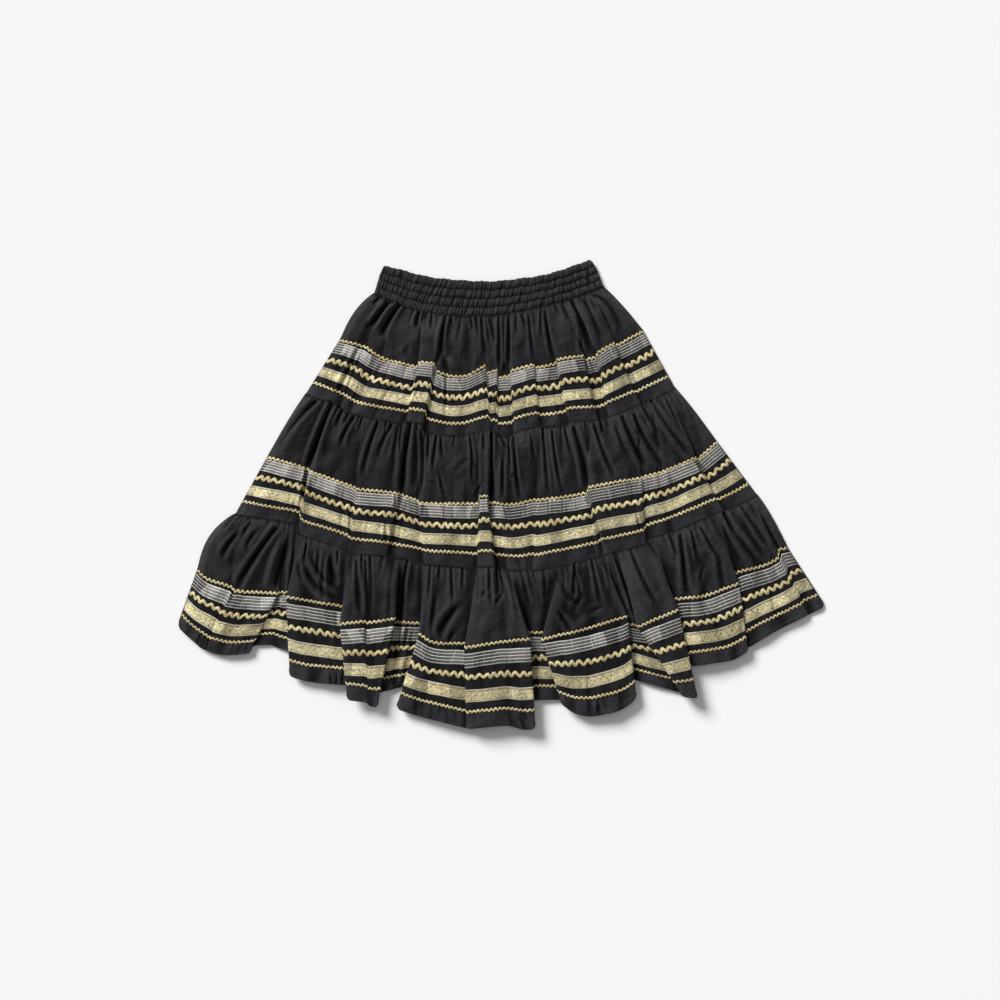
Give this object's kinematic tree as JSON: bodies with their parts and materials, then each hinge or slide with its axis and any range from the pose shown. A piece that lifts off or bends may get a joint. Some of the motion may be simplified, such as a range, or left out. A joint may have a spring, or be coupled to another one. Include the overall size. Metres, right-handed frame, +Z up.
{
  "type": "square dance skirt",
  "caption": "Gathered tiered dance skirt with an elastic waistband and rows of rickrack, ribbon and braid, laid flat.",
  "frame": {"origin": "on the ground under the middle of the skirt as it lies", "axes": "+X across the hem towards the right of the front as it is seen, +Y towards the waist, +Z up off the ground, out of the front"},
  "size_m": [0.9933, 0.7171, 0.0311],
  "materials": {
    "cotton": "matt black woven cotton",
    "gold_rickrack": "gold metallic rickrack",
    "silver_ribbon": "silver striped metallic ribbon",
    "gold_braid": "gold metallic braid with silver edges"
  },
  "bodies": {
    "root": {"waistband_front": "cotton", "waistband_back": "cotton", "tier_1_front": "cotton", "tier_1_rickrack_upper_front": "gold_rickrack", "tier_1_silver_ribbon_front": "silver_ribbon", "tier_1_rickrack_wide_front": "gold_rickrack", "tier_1_gold_braid_front": "gold_braid", "tier_1_rickrack_lower_front": "gold_rickrack", "tier_1_back": "cotton", "tier_1_rickrack_upper_back": "gold_rickrack", "tier_1_silver_ribbon_back": "silver_ribbon", "tier_1_rickrack_wide_back": "gold_rickrack", "tier_1_gold_braid_back": "gold_braid", "tier_1_rickrack_lower_back": "gold_rickrack", "tier_2_front": "cotton", "tier_2_rickrack_upper_front": "gold_rickrack", "tier_2_silver_ribbon_front": "silver_ribbon", "tier_2_rickrack_wide_front": "gold_rickrack", "tier_2_gold_braid_front": "gold_braid", "tier_2_rickrack_lower_front": "gold_rickrack", "tier_2_back": "cotton", "tier_2_rickrack_upper_back": "gold_rickrack", "tier_2_silver_ribbon_back": "silver_ribbon", "tier_2_rickrack_wide_back": "gold_rickrack", "tier_2_gold_braid_back": "gold_braid", "tier_2_rickrack_lower_back": "gold_rickrack", "tier_3_front": "cotton", "tier_3_rickrack_upper_front": "gold_rickrack", "tier_3_silver_ribbon_front": "silver_ribbon", "tier_3_rickrack_wide_front": "gold_rickrack", "tier_3_gold_braid_front": "gold_braid", "tier_3_rickrack_lower_front": "gold_rickrack", "tier_3_back": "cotton", "tier_3_rickrack_upper_back": "gold_rickrack", "tier_3_silver_ribbon_back": "silver_ribbon", "tier_3_rickrack_wide_back": "gold_rickrack", "tier_3_gold_braid_back": "gold_braid", "tier_3_rickrack_lower_back": "gold_rickrack"}
  },
  "joints": []
}
